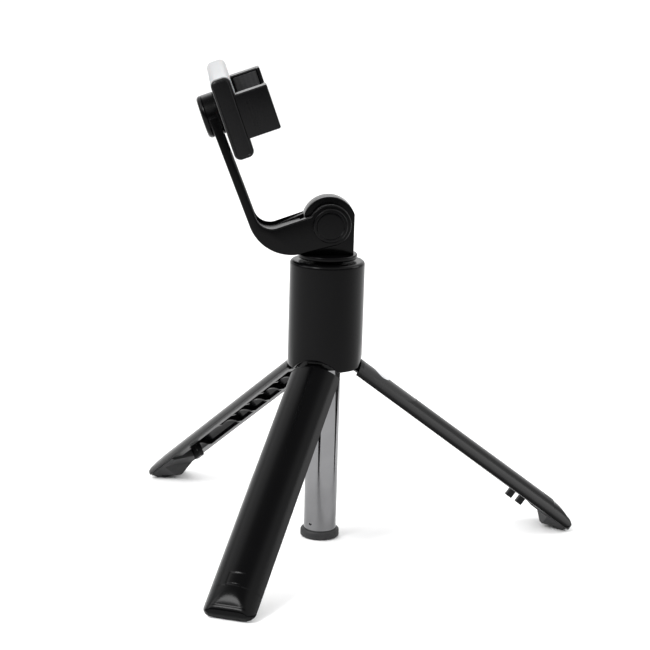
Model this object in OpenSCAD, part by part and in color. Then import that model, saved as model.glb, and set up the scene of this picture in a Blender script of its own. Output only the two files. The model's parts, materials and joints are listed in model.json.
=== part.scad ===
// Tripod selfie stick: three folding legs, a telescopic pole, a tilting hooked arm, a turning spring
// clamp for a phone, and a remote control docked in one leg. It stands with its legs open, pole closed.
// Millimetres, +Z up. The origin is the middle of the pole end cap's face, in the plane of the feet.
// The tilt axis is parallel to Y. The arm hooks out towards -X.

/* [Hub] */
// Outer diameter of the hub
hub_d = 36; // [33:0.5:44]
// Height of the hub
hub_h = 52; // [44:0.5:64]
// Wall of the hub shell
hub_wall = 2.2; // [1.6:0.1:2.6]

/* [Legs] */
// Length of a leg from its hinge to its tip
leg_len = 145; // [118:1:180]
// Angle between an open leg and the pole
leg_open = 53.5; // [45:0.5:60]
// Outer radius of the handle that the closed legs form
leg_r = 14.5; // [14:0.1:16]
// Wall of a leg's cover
leg_wall = 1.6; // [1.2:0.1:2]
// Turn of the first leg from +X
leg_turn = 7; // [-30:1:30]
// Diameter of a leg's hinge pin
leg_pin_d = 2.5; // [2:0.1:3]
// Width of a leg's hinge knuckle
knuckle_w = 7; // [5:0.5:8]
// Distance between the cross ribs inside a leg
rib_pitch = 13.5; // [10:0.1:18]
// Thickness of a cross rib
rib_t = 1.3; // [1:0.1:2]

/* [Pole] */
// Outer diameter of the outer tube
tube_d = 16; // [14:0.1:16.4]
// Wall of each tube
tube_t = 0.4; // [0.3:0.05:0.5]
// Step in diameter from one tube to the next
tube_step = 2; // [1.6:0.1:2.2]
// Length of each friction bush
bush_len = 14; // [8:1:20]
// Diameter of the end cap's flange
cap_d = 19; // [17.5:0.5:24]
// Travel of each sliding tube
stage_travel = 100; // [60:1:105]

/* [Head] */
// Height of the tilt axis above the top of the hub
tilt_rise = 18.4; // [18.4:0.1:30]
// Lean of the arm from upright
tilt_lean = 20; // [0:0.5:30]
// Thickness of the tongue between the arm's cheeks
tongue_t = 10; // [8:0.5:12]
// Width of the arm
arm_w = 22; // [20:0.5:26]
// Thickness of the arm's bar
arm_t = 4.2; // [3.6:0.1:5.4]
// Distance from the tilt axis to the inner face of the bar, at the bend
arm_reach = 32; // [31:0.1:40]
// How much further out the bar is at its upper end
bar_flare = 1.6; // [0.8:0.1:2.4]
// Diameter of the tilt screw's shank
tilt_pin_d = 5; // [4:0.1:6]
// Diameter of the caps over the tilt screw
tilt_cap_d = 16.4; // [14:0.1:19]
// Height of the clamp's axis above the tilt axis, along the bar
swivel_rise = 66.3; // [60:0.1:80]
// Diameter of the swivel disc
swivel_d = 20.5; // [18:0.1:22]

/* [Phone clamp] */
// Gap between the closed jaws, at their faces
jaw_gap = 67; // [50:1:75]
// How far the sliding jaw opens
jaw_travel = 26; // [15:1:30]
// Height of the clamp's body, along the bar
body_h = 38; // [32:0.1:44]
// Thickness of the clamp's body
body_t = 9.3; // [7.5:0.1:11]
// Width of a jaw
jaw_w = 21; // [16:0.5:26]
// Depth of a jaw from the body
jaw_deep = 15; // [10:0.5:22]
// Thickness of a jaw
jaw_t = 7.5; // [5:0.1:9]
// Diameter of a guide rod
rod_d = 3; // [2:0.1:3.4]

/* [Remote control] */
// Length of the remote control
remote_len = 34; // [30:0.5:38]
// Width of the remote control
remote_w = 16.4; // [15.8:0.1:17.5]
// Diameter of the shutter button
button_d = 9; // [6:0.1:11]

/* [Hidden] */
$fn = 96;
run = 0.05;           // radial running clearance
gap = 0.15;           // gap between shells that don't rub
tiny = 0.01;
far = 200;            // longer than any cut needs to be
hinge_r = leg_r - 3;
hinge_z = leg_len * cos(leg_open) + 4.15;
hub_z0 = hinge_z - 4;
hub_z1 = hub_z0 + hub_h;
hub_r = hub_d / 2;
hub_ri = hub_r - hub_wall;
hub_edge = 1.6;       // chamfer and rounding of the hub's ends
carrier_h = 18;
carrier_z0 = hub_z0 + 1;
carrier_z1 = carrier_z0 + carrier_h;
post_r = hub_ri - 3;
post_d = 5.4;
screw_d = 2;
leg_half = 59;        // half the angle that a leg's section spans
leg_top = 5.5;        // from the hinge down to the top of the cover
cover_ri = leg_r - leg_wall;
frame_ro = cover_ri - gap;
frame_ri = tube_d / 2 + 0.8;
frame_tip = leg_len - 25;
catch_w = 2.2;
chord_top = 7.2;      // the legs' flat inner faces, from the pole's axis, at the hinge
chord_fall = 0.3;     // and how much nearer the axis they are at the tip
nose_s = leg_len - 18;
nose_r = 60;
toe_r = 3.5;          // rounding between the nose and the leg's end
heel_r = hinge_r + leg_len * sin(leg_open) - 14.2;
heel_z = 2;
sole_r = heel_r + 6.1;
sole_proud = 0.8;
snap_w = 6.8;         // the snap windows near the legs' tips
snap_h = 6;
tube_r = tube_d / 2;
cap_t = 4;
cap_plug = 9;
stages = 4;
stage_z0 = cap_t + cap_plug + 0.5;
lip_len = 3;
pivot_z = hub_z1 + tilt_rise;
disc_z0 = hub_z1 + 1;
disc_t = 2.4;
disc_r = 14.2;
neck_r = 7.25;
tongue_r = 12.8;
tongue_half = 12;
knuckle_r = 10;
washer_t = 0.5;
cheek_y = tongue_t / 2 + washer_t + 0.1;
hook_in_r = 8;
hook_out_r = 21.2;
hook_c = [-arm_reach - arm_t + hook_out_r, 12.5];
hook_floor = 7;
boss_t = 6.1;
boss_x1 = -arm_reach - 0.2;
boss_x0 = boss_x1 - boss_t;
swivel_cap_t = 2.2;
body_x0 = boss_x1 + 0.5;
body_x1 = body_x0 + body_t;
body_z0 = swivel_rise - body_h / 2;
corner_r = 3;
pad_t = 1.2;
near_y = -(jaw_gap / 2 - 2.5);
far_y = jaw_gap / 2 + 2.5;
plate_t = 4.6;
plate_y0 = near_y - jaw_t;
plate_y1 = plate_y0 + plate_t;
body_y0 = plate_y1 + 0.2;
body_y1 = far_y + jaw_t;
jaw_z0 = swivel_rise - jaw_w / 2 - 0.4;
jaw_x1 = body_x1 + jaw_deep;
lip_x = 1.8;
lip_y = 1.8;
rod_z = 12;
rod_x = (body_x0 + body_x1) / 2;
rod_len = 52;
spring_d = 4;
spring_wire = 0.7;
spring_z = 4.6;
swivel_pin_d = 4;
remote_s0 = 7.5;
remote_r0 = 9.4;
remote_top_r = leg_r - 0.1;
remote_split = 11.6;
remote_s1 = remote_s0 + remote_len;
button_s = remote_s0 + 12;
button_travel = 0.6;

// ---- shared shapes ----

// A ring about Z from radius r0 to r1 and from z0 to z1
module ring(r0, r1, z0, z1) {
    translate([0, 0, z0])
        difference() {
            cylinder(r = r1, h = z1 - z0);
            translate([0, 0, -1]) cylinder(r = r0, h = z1 - z0 + 2);
        }
}

// Part of a ring about the pole's axis, half degrees to each side of +X
module ring_part(r0, r1, z0, z1, half) {
    rotate([0, 0, -half])
        rotate_extrude(angle = 2 * half)
            translate([r0, z0]) square([r1 - r0, z1 - z0]);
}

// A pin along Y from y0 to y1
module y_pin(d, y0, y1) {
    translate([0, y1, 0]) rotate([90, 0, 0]) cylinder(d = d, h = y1 - y0);
}

// A pin along X from x0 to x1
module x_pin(d, x0, x1) {
    translate([x0, 0, 0]) rotate([0, 90, 0]) cylinder(d = d, h = x1 - x0);
}

// An outline in the X-Z plane, made solid from y0 to y1
module side_solid(y0, y1) {
    translate([0, y1, 0]) rotate([90, 0, 0]) linear_extrude(y1 - y0) children();
}

// A rectangle from x0, z0 to x1, z1 with rounded corners
module rounded_square(x0, z0, x1, z1, r) {
    translate([x0 + r, z0]) square([x1 - x0 - 2 * r, z1 - z0]);
    translate([x0, z0 + r]) square([x1 - x0, z1 - z0 - 2 * r]);
    for (x = [x0 + r, x1 - r], z = [z0 + r, z1 - r])
        translate([x, z]) circle(r = r);
}

// ---- hub ----

module each_leg() {
    for (i = [0:2]) rotate([0, 0, leg_turn + 120 * i]) children();
}

module between_legs() {
    for (i = [0:2]) rotate([0, 0, leg_turn + 60 + 120 * i]) children();
}

// Outline of the hub: a chamfer at the top and a rounded lower edge
module hub_outline() {
    arc = [for (a = [0:15:90]) [hub_r - hub_edge + hub_edge * sin(a), hub_edge - hub_edge * cos(a)]];
    polygon(concat([[0, 0]], arc,
        [[hub_r, hub_h - hub_edge], [hub_r - hub_edge, hub_h], [0, hub_h]]));
}

// Room for an open leg under the hub's edge: a low arch through the wall
module leg_arch() {
    arch_r = 14.3;
    arch_top = hinge_z + 1.5;
    translate([hinge_r - 2, 0, arch_top - arch_r])
        rotate([0, 90, 0]) cylinder(r = arch_r, h = far);
}

module hub_shell() color([0.05, 0.05, 0.055]) {
    difference() {
        union() {
            difference() {
                translate([0, 0, hub_z0]) rotate_extrude() hub_outline();
                translate([0, 0, hub_z0 - 1]) cylinder(r = hub_ri, h = hub_h - hub_wall + 1);
            }
            between_legs() translate([post_r, 0, carrier_z1 + 0.1])
                cylinder(d = post_d, h = hub_z1 - hub_wall / 2 - carrier_z1);
        }
        translate([0, 0, hub_z0]) cylinder(r = tube_r + run, h = far);
        each_leg() intersection() {
            leg_arch();
            translate([0, 0, hub_z0 - far]) cylinder(r = hub_r + 1, h = far + 8);
        }
        between_legs() translate([post_r, 0, carrier_z1 - 1]) cylinder(d = screw_d, h = 9);
    }
}

module leg_carrier() color([0.09, 0.09, 0.095]) {
    slot_h = hinge_z + 3.6 - carrier_z0;
    difference() {
        translate([0, 0, carrier_z0]) cylinder(r = hub_ri - gap, h = carrier_h);
        translate([0, 0, carrier_z0 - 1]) cylinder(r = tube_r + run, h = carrier_h + 2);
        each_leg() translate([tube_r - 1, -knuckle_w / 2 - 0.2, carrier_z0 - 1])
            cube([far, knuckle_w + 0.4, slot_h + 1]);
        each_leg() translate([hinge_r, 0, hinge_z]) y_pin(leg_pin_d, -8, 8);
        each_leg() intersection() {
            leg_arch();
            translate([hinge_r + 3.4, -far / 2, 0]) cube([far, far, hinge_z + 0.5]);
        }
        between_legs() translate([post_r, 0, carrier_z0 - 1]) cylinder(d = screw_d + 0.3, h = far);
        between_legs() translate([post_r, 0, carrier_z0 - 1]) cylinder(d = 2 * screw_d, h = 9);
    }
}

module leg_hinge_pins() color([0.75, 0.75, 0.77]) {
    each_leg() translate([hinge_r, 0, hinge_z]) y_pin(leg_pin_d, -7.5, 7.5);
}

module hub_screws() color([0.7, 0.7, 0.72]) {
    head_z = carrier_z0 + 8;
    between_legs() translate([post_r, 0, 0]) {
        translate([0, 0, head_z - 1.5]) cylinder(d = 3.6, h = 1.5);
        translate([0, 0, head_z - tiny]) cylinder(d = screw_d - 0.05, h = 17);
    }
}

module pole_top_bush() color([0.85, 0.85, 0.82]) {
    ring(tube_r + run, post_r - post_d / 2 - 0.2, hub_z1 - hub_wall - 9, hub_z1 - hub_wall - 0.1);
}

// ---- pole ----

// Outer radius of tube k, where tube 1 is the outer one
function stage_r(k) = tube_r - (k - 1) * tube_step / 2;
function stage_bottom(k) = stage_z0 + 0.6 * (k - 2);
function stage_top(k) = hub_z1 - 0.3 + 0.1 * (k - 1);

// A tube whose top is rolled in to guide the next one
module lipped_tube(k, z0, z1) {
    r = stage_r(k);
    next_r = stage_r(k + 1);
    rotate_extrude()
        polygon([[r - tube_t, z0], [r, z0], [r, z1 - 0.4], [r - 0.4, z1],
            [next_r + run, z1], [next_r + run, z1 - lip_len], [r - tube_t, z1 - lip_len - 0.6]]);
}

module outer_tube() color([0.8, 0.8, 0.82]) {
    lipped_tube(1, cap_t, stage_top(1));
}

module pole_end_cap() color([0.05, 0.05, 0.05]) {
    plug_r = tube_r - tube_t;
    rotate_extrude()
        polygon([[0, 0], [cap_d / 2 - 0.6, 0], [cap_d / 2, 0.6], [cap_d / 2, cap_t - 1.2],
            [cap_d / 2 - 1.2, cap_t], [plug_r, cap_t], [plug_r, cap_t + cap_plug - 0.5],
            [plug_r - 0.5, cap_t + cap_plug], [0, cap_t + cap_plug]]);
}

module tube_2() color([0.8, 0.8, 0.82]) lipped_tube(2, stage_bottom(2), stage_top(2));
module tube_3() color([0.8, 0.8, 0.82]) lipped_tube(3, stage_bottom(3), stage_top(3));
module tube_4() color([0.8, 0.8, 0.82]) lipped_tube(4, stage_bottom(4), stage_top(4));

plug_z0 = hub_z1 - 6;
plug_z1 = hub_z1 + 10;
plug_shoulder = hub_z1 + 5;

module tube_5() color([0.8, 0.8, 0.82]) {
    ring(stage_r(5) - tube_t, stage_r(5), stage_bottom(5), plug_shoulder);
}

// The friction bush on the lower end of tube k
module stage_bush(k) {
    ring(stage_r(k), stage_r(k - 1) - tube_t - run, stage_bottom(k), stage_bottom(k) + bush_len);
}

module tube_2_bush() color([0.85, 0.85, 0.82]) stage_bush(2);
module tube_3_bush() color([0.85, 0.85, 0.82]) stage_bush(3);
module tube_4_bush() color([0.85, 0.85, 0.82]) stage_bush(4);
module tube_5_bush() color([0.85, 0.85, 0.82]) stage_bush(5);

// The plug in the top tube, with the groove that the head's set screw turns in
module tube_5_plug() color([0.7, 0.7, 0.7]) {
    r = stage_r(5);
    rotate_extrude()
        polygon([[0, plug_z0], [r - tube_t, plug_z0], [r - tube_t, plug_shoulder], [r, plug_shoulder],
            [r, plug_shoulder + 1], [r - 1, plug_shoulder + 1], [r - 1, plug_shoulder + 3.4],
            [r, plug_shoulder + 3.4], [r, plug_z1], [0, plug_z1]]);
}

// ---- legs ----

// Puts a leg, drawn hanging down at its hinge, at its open place
module open_leg(i) {
    rotate([0, 0, leg_turn + 120 * i])
        translate([hinge_r, 0, hinge_z])
            rotate([0, -leg_open, 0]) children();
}

// The side outline of a leg, inset evenly from its outer face, nose and end
module leg_side(inset) {
    toe_s = leg_len - toe_r;
    toe_x = 3 - nose_r + sqrt(nose_r * nose_r - (toe_s - nose_s) * (toe_s - nose_s)) - toe_r;
    translate([-far / 2, -nose_s]) square([far, nose_s]);
    intersection() {
        translate([3 - nose_r, -nose_s]) circle(r = nose_r - inset);
        translate([-far / 2, -toe_s]) square([far, toe_s]);
    }
    translate([toe_x, -toe_s]) circle(r = toe_r - inset);
    translate([-far / 2, -leg_len + inset]) square([far / 2 + toe_x, toe_r]);
}

// The part of a leg's space that lies outward of its inner face, which slopes towards the pole
module chord_side() {
    x0 = chord_top - hinge_r;
    polygon([[x0, 0], [far, 0], [far, -leg_len - 1], [x0 - chord_fall, -leg_len - 1]]);
}

// Solid sector about the pole's axis, in the leg's frame
module leg_sector(r0, r1, s0, s1, half) {
    translate([-hinge_r, 0, 0]) ring_part(r0, r1, -s1, -s0, half);
}

module leg_cover(with_remote) {
    floor_gap = 0.4;
    difference() {
        intersection() {
            leg_sector(1, leg_r, leg_top, leg_len, leg_half);
            side_solid(-far, far) leg_side(0);
            side_solid(-far, far) chord_side();
        }
        intersection() {
            leg_sector(0.5, cover_ri, leg_top - 2, leg_len - leg_wall, 90);
            side_solid(-far, far) leg_side(leg_wall);
        }
        lower_than(floor_gap);
        translate([0, -snap_w / 2, -nose_s - 5]) cube([far, snap_w, snap_h]);
        if (with_remote) remote_space(gap);
    }
}

// What lies lower than height z above the floor, in the open leg's frame
module lower_than(z) {
    rotate([0, leg_open, 0]) translate([-far, -far / 2, z - hinge_z - far]) cube([2 * far, far, far]);
}

// The space that the docked remote takes in a leg, with a margin round it
module remote_space(margin) {
    half_w = remote_w / 2 + margin;
    translate([-hinge_r + remote_r0 - margin, 0, 0]) rotate([0, 90, 0]) linear_extrude(far) {
        translate([remote_s0 - margin, -half_w])
            square([remote_len + 2 * margin - half_w, 2 * half_w]);
        translate([remote_s1 + margin - half_w, 0]) circle(r = half_w);
    }
}

module leg_frame(with_remote) {
    rib_s0 = with_remote ? remote_s1 + 9.5 : 11.3;
    rib_count = floor((79 - rib_s0) / rib_pitch);
    difference() {
        union() {
            intersection() {
                leg_sector(frame_ri, frame_ro, leg_top + 2, frame_tip, leg_half - 2.5);
                side_solid(-far, far) chord_side();
            }
            translate([-3, -knuckle_w / 2, -leg_top - 4]) cube([4.1, knuckle_w, leg_top + 4]);
            y_pin(6, -knuckle_w / 2, knuckle_w / 2);
            frame_catch(with_remote);
        }
        y_pin(leg_pin_d + 2 * run, -far / 2, far / 2);
        for (i = [0:rib_count - 1])
            frame_pocket(rib_s0 + i * rib_pitch, rib_s0 + (i + 1) * rib_pitch - rib_t);
        frame_pocket(rib_s0 + rib_count * rib_pitch, frame_tip - 12);
        if (with_remote) remote_space(gap);
    }
}

// A pocket between two ribs, open towards the pole
module frame_pocket(s0, s1) {
    translate([-hinge_r, 0, 0])
        intersection() {
            ring_part(1, frame_ro - 1.1, -s1, -s0, leg_half);
            translate([0, -7.6, -s1 - 1]) cube([far, 15.2, s1 - s0 + 2]);
        }
}

// Catches near the foot that lock the closed legs to each other: two pegs, or a square loop
module frame_catch(with_pegs) {
    x_low = chord_top - hinge_r - 4.8;
    x_high = frame_ro - hinge_r - 0.6;
    peg_s = frame_tip - 10;
    if (with_pegs)
        for (s = [peg_s, peg_s + 6.5]) translate([x_low, -catch_w / 2, -s - 3.4]) cube([x_high - x_low, catch_w, 3.4]);
    else
        translate([x_low, -catch_w / 2, -peg_s - 5])
            difference() {
                cube([x_high - x_low, catch_w, 6]);
                translate([1.4, -1, 1.5]) cube([2.6, catch_w + 2, 3]);
            }
}

module leg_foot() {
    intersection() {
        leg_sector(1.4, cover_ri - gap, frame_tip + 1, leg_len - leg_wall - gap, leg_half - 3);
        side_solid(-far, far) leg_side(leg_wall + gap);
        union() {
            difference() {
                translate([-sole_proud, 0, 0]) side_solid(-far, far) chord_side();
                lower_than(0);
            }
            rotate([0, leg_open, 0]) translate([heel_r - hinge_r, -far / 2, heel_z - hinge_z])
                cube([far, far, far]);
            rotate([0, leg_open, 0]) translate([sole_r - hinge_r, -far / 2, -hinge_z])
                cube([far, far, 2 * heel_z]);
        }
    }
    intersection() {
        translate([-hinge_r + cover_ri - 1.4, -snap_w / 2 + 0.3, -nose_s - 4.7]) cube([2.4, snap_w - 0.6, snap_h - 0.6]);
        leg_sector(1, leg_r - 0.5, leg_top, leg_len, leg_half);
    }
}

module right_leg_cover() color([0.05, 0.05, 0.055]) open_leg(0) leg_cover(true);
module right_leg_frame() color([0.09, 0.09, 0.095]) open_leg(0) leg_frame(true);
module right_leg_foot() color([0.06, 0.06, 0.06]) open_leg(0) leg_foot();
module left_leg_cover() color([0.05, 0.05, 0.055]) open_leg(1) leg_cover(false);
module left_leg_frame() color([0.09, 0.09, 0.095]) open_leg(1) leg_frame(false);
module left_leg_foot() color([0.06, 0.06, 0.06]) open_leg(1) leg_foot();
module front_leg_cover() color([0.05, 0.05, 0.055]) open_leg(2) leg_cover(false);
module front_leg_frame() color([0.09, 0.09, 0.095]) open_leg(2) leg_frame(false);
module front_leg_foot() color([0.06, 0.06, 0.06]) open_leg(2) leg_foot();

// ---- remote control, docked in the first leg ----

module remote_case(r0, r1) {
    intersection() {
        leg_sector(1, r1, remote_s0 - 1, remote_s1 + 1, leg_half);
        remote_space(0);
        translate([-hinge_r + r0, -far / 2, -far]) cube([far, far, far]);
    }
}

module remote_upper_shell() color([0.07, 0.07, 0.075]) open_leg(0) {
    split_x = remote_split + 0.1;
    difference() {
        remote_case(split_x, remote_top_r);
        intersection() {
            translate([-hinge_r, 0, -remote_s1 - 1]) cylinder(r = remote_top_r - 1, h = remote_len + 2);
            remote_space(-1.2);
        }
        translate([0, 0, -button_s]) x_pin(button_d + 0.4, -5, 5);
    }
}

module remote_lower_shell() color([0.07, 0.07, 0.075]) open_leg(0) {
    floor_t = 0.8;
    difference() {
        intersection() {
            remote_case(remote_r0, remote_top_r);
            translate([-hinge_r, -far / 2, -far]) cube([remote_split, far, far]);
        }
        intersection() {
            remote_space(-1.1);
            translate([-hinge_r + remote_r0 + floor_t, -far / 2, -far]) cube([far, far, far]);
        }
    }
}

module remote_button() color([0.75, 0.76, 0.78]) open_leg(0) {
    translate([0, 0, -button_s]) {
        intersection() {
            x_pin(button_d, remote_split + 1.45 - hinge_r, 4);
            translate([-hinge_r, 0, -far / 2]) cylinder(r = remote_top_r - 0.1, h = far);
        }
    }
}

module remote_board() color([0.1, 0.3, 0.15]) open_leg(0) {
    board_half = remote_w * 0.29;
    translate([-hinge_r + remote_r0 + 2.35, -board_half, -remote_s1 + 8.6])
        cube([0.6, 2 * board_half, remote_len - 10.2]);
}

module remote_cell() color([0.75, 0.75, 0.76]) open_leg(0) {
    translate([0, 0, -remote_s0 - 10]) x_pin(12.5, remote_r0 + 1.15 - hinge_r, remote_r0 + 2.3 - hinge_r);
}

// ---- head ----

module head_base() color([0.05, 0.05, 0.055]) {
    bore_r = stage_r(5) + run;
    difference() {
        union() {
            translate([0, 0, hub_z1 + 0.2]) cylinder(r = neck_r, h = 1.2);
            translate([0, 0, disc_z0]) cylinder(r1 = disc_r - 0.6, r2 = disc_r, h = 1);
            translate([0, 0, disc_z0 + 1 - tiny]) cylinder(r = disc_r, h = disc_t - 1 + tiny);
            translate([-tongue_half, -tongue_t / 2, disc_z0 + disc_t - tiny])
                cube([2 * tongue_half, tongue_t, pivot_z - disc_z0 - disc_t]);
            translate([0, 0, pivot_z]) y_pin(2 * tongue_r, -tongue_t / 2, tongue_t / 2);
        }
        translate([0, 0, hub_z1]) cylinder(r = bore_r, h = plug_z1 + 0.3 - hub_z1);
        translate([0, 0, pivot_z]) y_pin(tilt_pin_d + 2 * run, -far / 2, far / 2);
        translate([0, 0, plug_shoulder + 2.2]) x_pin(2.1, stage_r(5) - 1, far);
    }
}

module head_set_screw() color([0.3, 0.3, 0.32]) {
    translate([0, 0, plug_shoulder + 2.2]) x_pin(2, stage_r(5) - 0.8, tongue_half - 0.6);
}

module at_pivot() {
    translate([0, 0, pivot_z]) rotate([0, -tilt_lean, 0]) children();
}

module tilt_washers() color([0.9, 0.9, 0.88]) {
    y0 = tongue_t / 2 + 0.04;
    translate([0, 0, pivot_z]) for (side = [0, 1]) mirror([0, side, 0])
        difference() {
            y_pin(16, y0, cheek_y - 0.02);
            y_pin(tilt_pin_d + 0.2, 0, far);
        }
}

// Side outline of the arm: the bar, the hook and the round end on the tilt axis
module arm_side() {
    bend_z = hook_floor + hook_in_r;
    hook_low = hook_c[1] - hook_out_r;
    polygon([[-arm_reach - arm_t, hook_c[1]], [-arm_reach - arm_t - bar_flare, swivel_rise],
        [-arm_reach - bar_flare, swivel_rise], [-arm_reach, bend_z], [-arm_reach, hook_c[1]]]);
    difference() {
        union() {
            intersection() {
                translate(hook_c) circle(r = hook_out_r);
                translate([-far, -far]) square([far + hook_c[0], far + bend_z]);
            }
            polygon([[hook_c[0] - 1, hook_low], [hook_c[0], hook_low], [0, -knuckle_r], [0, hook_floor],
                [hook_c[0] - 1, hook_floor]]);
        }
        translate([-arm_reach + hook_in_r, bend_z]) circle(r = hook_in_r);
        translate([-arm_reach + hook_in_r, hook_floor]) square([far, far]);
        translate([-arm_reach, bend_z]) square([far, far]);
    }
    circle(r = knuckle_r);
}

module arm() color([0.05, 0.05, 0.055]) {
    boss_r = swivel_d / 2;
    at_pivot() difference() {
        union() {
            intersection() {
                side_solid(-arm_w / 2, arm_w / 2) arm_side();
                union() {
                    translate([0, 0, swivel_rise]) x_pin(arm_w, -far, far);
                    translate([-far, -arm_w / 2, -far]) cube([2 * far, arm_w, far + swivel_rise]);
                }
            }
            translate([0, 0, swivel_rise]) x_pin(swivel_d, boss_x0, boss_x1);
        }
        rotate([0, tilt_lean, 0]) {
            y_pin(2 * tongue_r + 1.6, -cheek_y, cheek_y);
            translate([-tongue_half - 0.7, -cheek_y, -far]) cube([far, 2 * cheek_y, far]);
        }
        y_pin(tilt_pin_d + 2 * run, -far / 2, far / 2);
        side_solid(arm_w / 2 - 3.2, far) circle(d = 9.4, $fn = 6);
        side_solid(-far, -arm_w / 2 + 1.6) circle(d = 8.8);
        translate([0, 0, swivel_rise]) x_pin(swivel_pin_d + 2 * run, -far, far);
        translate([0, 0, swivel_rise]) x_pin(8.4, -far, boss_x0 + 2.4);
    }
}

module tilt_screw() color([0.7, 0.7, 0.72]) at_pivot() {
    head_y = -arm_w / 2 + 1.55;
    y_pin(8.6, head_y - 1.5, head_y);
    y_pin(tilt_pin_d, head_y - tiny, arm_w / 2 - 0.2);
}

module tilt_nut() color([0.7, 0.7, 0.72]) at_pivot() {
    difference() {
        side_solid(arm_w / 2 - 3.15, arm_w / 2 - 0.1) circle(d = 9.2, $fn = 6);
        y_pin(tilt_pin_d, 0, far);
    }
}

// A low round cap over an end of the tilt screw, with a turned edge
module tilt_cap() {
    cap_r = tilt_cap_d / 2;
    rotate([90, 0, 0]) translate([0, 0, arm_w / 2 + 0.05]) rotate_extrude()
        polygon([[0, 0], [cap_r, 0], [cap_r, 1.1], [cap_r - 0.7, 1.8], [cap_r - 1.6, 1.8], [cap_r - 2, 1.5],
            [0, 1.5]]);
}

module tilt_cap_near() color([0.03, 0.03, 0.03]) at_pivot() tilt_cap();
module tilt_cap_far() color([0.03, 0.03, 0.03]) at_pivot() mirror([0, 1, 0]) tilt_cap();

module swivel_screw() color([0.7, 0.7, 0.72]) at_pivot() translate([0, 0, swivel_rise]) {
    x_pin(7.6, boss_x0 + 0.3, boss_x0 + 2.4);
    x_pin(swivel_pin_d, boss_x0 + 2.4 - tiny, body_x0 + 5);
}

module swivel_washer() color([0.8, 0.8, 0.8]) at_pivot() translate([0, 0, swivel_rise]) {
    difference() {
        x_pin(9, boss_x1 + 0.06, body_x0 - 0.06);
        x_pin(swivel_pin_d + 0.2, -far, far);
    }
}

module swivel_cap() color([0.04, 0.04, 0.045]) at_pivot() translate([boss_x0 - 0.05, 0, swivel_rise]) {
    cap_r = swivel_d / 2;
    rotate([0, -90, 0]) rotate_extrude()
        polygon([[0, 0], [cap_r, 0], [cap_r, 0.5], [cap_r - 1.6, swivel_cap_t], [0, swivel_cap_t]]);
}

// ---- phone clamp ----

module clamp_section(margin) {
    rounded_square(body_x0 + margin, body_z0 + margin, body_x1 - margin, body_z0 + body_h - margin,
        corner_r - margin);
}

module at_rods() {
    for (side = [-1, 1]) translate([rod_x, 0, swivel_rise + side * rod_z]) children();
}

module at_springs() {
    for (side = [-1, 1]) translate([rod_x, 0, swivel_rise + side * spring_z]) children();
}

spring_y1 = -5.5;

module clamp_body() color([0.88, 0.88, 0.87]) at_pivot() {
    difference() {
        side_solid(body_y0, body_y1) clamp_section(0);
        at_rods() y_pin(rod_d + 2 * run, body_y0 - 1, body_y0 + rod_len);
        at_springs() y_pin(spring_d + 1, body_y0 - 1, spring_y1 + 0.5);
        translate([0, 0, swivel_rise]) x_pin(6.4, -far, body_x0 + 6);
        fixed_jaw_screw_holes();
    }
}

module clamp_insert() color([0.78, 0.62, 0.3]) at_pivot() translate([0, 0, swivel_rise]) {
    difference() {
        x_pin(6.4, body_x0 + 0.3, body_x0 + 6);
        x_pin(swivel_pin_d, -far, body_x0 + 5.1);
    }
}

module at_fixed_jaw_screws() {
    for (z = [jaw_z0 + 4.5, jaw_z0 + jaw_w - 4.5])
        translate([0, far_y + jaw_t / 2, z]) children();
}

module fixed_jaw_screw_holes() {
    at_fixed_jaw_screws() {
        x_pin(screw_d + 0.3, -far, far);
        x_pin(4.2, -far, body_x0 + 1.8);
    }
}

// A jaw: a block with a lip at its free edge. Its face is at y = 0 and it lies on the -Y side
module jaw_block() {
    translate([body_x1, -jaw_t, jaw_z0]) cube([jaw_deep, jaw_t, jaw_w]);
    translate([jaw_x1 - lip_x, -tiny, jaw_z0]) cube([lip_x, lip_y + tiny, jaw_w]);
}

module jaw_pad() {
    ridges = 5;
    pad_x0 = body_x1 + 1.2;
    pad_len = jaw_deep - lip_x - 1.6;
    pitch = pad_len / ridges;
    translate([pad_x0, 0.02, jaw_z0 + 1.2]) {
        cube([pad_len, pad_t * 0.6, jaw_w - 2.4]);
        for (i = [0:ridges - 1])
            translate([i * pitch + pitch / 4, pad_t * 0.6 - tiny, 0]) cube([pitch / 2, pad_t * 0.4, jaw_w - 2.4]);
    }
}

module fixed_jaw() color([0.05, 0.05, 0.055]) at_pivot() {
    difference() {
        translate([0, far_y, 0]) mirror([0, 1, 0]) jaw_block();
        at_fixed_jaw_screws() x_pin(screw_d - 0.4, -far, body_x1 + 8);
    }
}

module fixed_jaw_screws() color([0.6, 0.6, 0.62]) at_pivot() at_fixed_jaw_screws() {
    x_pin(3.8, body_x0 + 0.2, body_x0 + 1.8);
    x_pin(screw_d - 0.4, body_x0 + 1.8 - tiny, body_x1 + 7);
}

module fixed_jaw_pad() color([0.12, 0.12, 0.12]) at_pivot() {
    translate([0, far_y, 0]) mirror([0, 1, 0]) jaw_pad();
}

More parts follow.
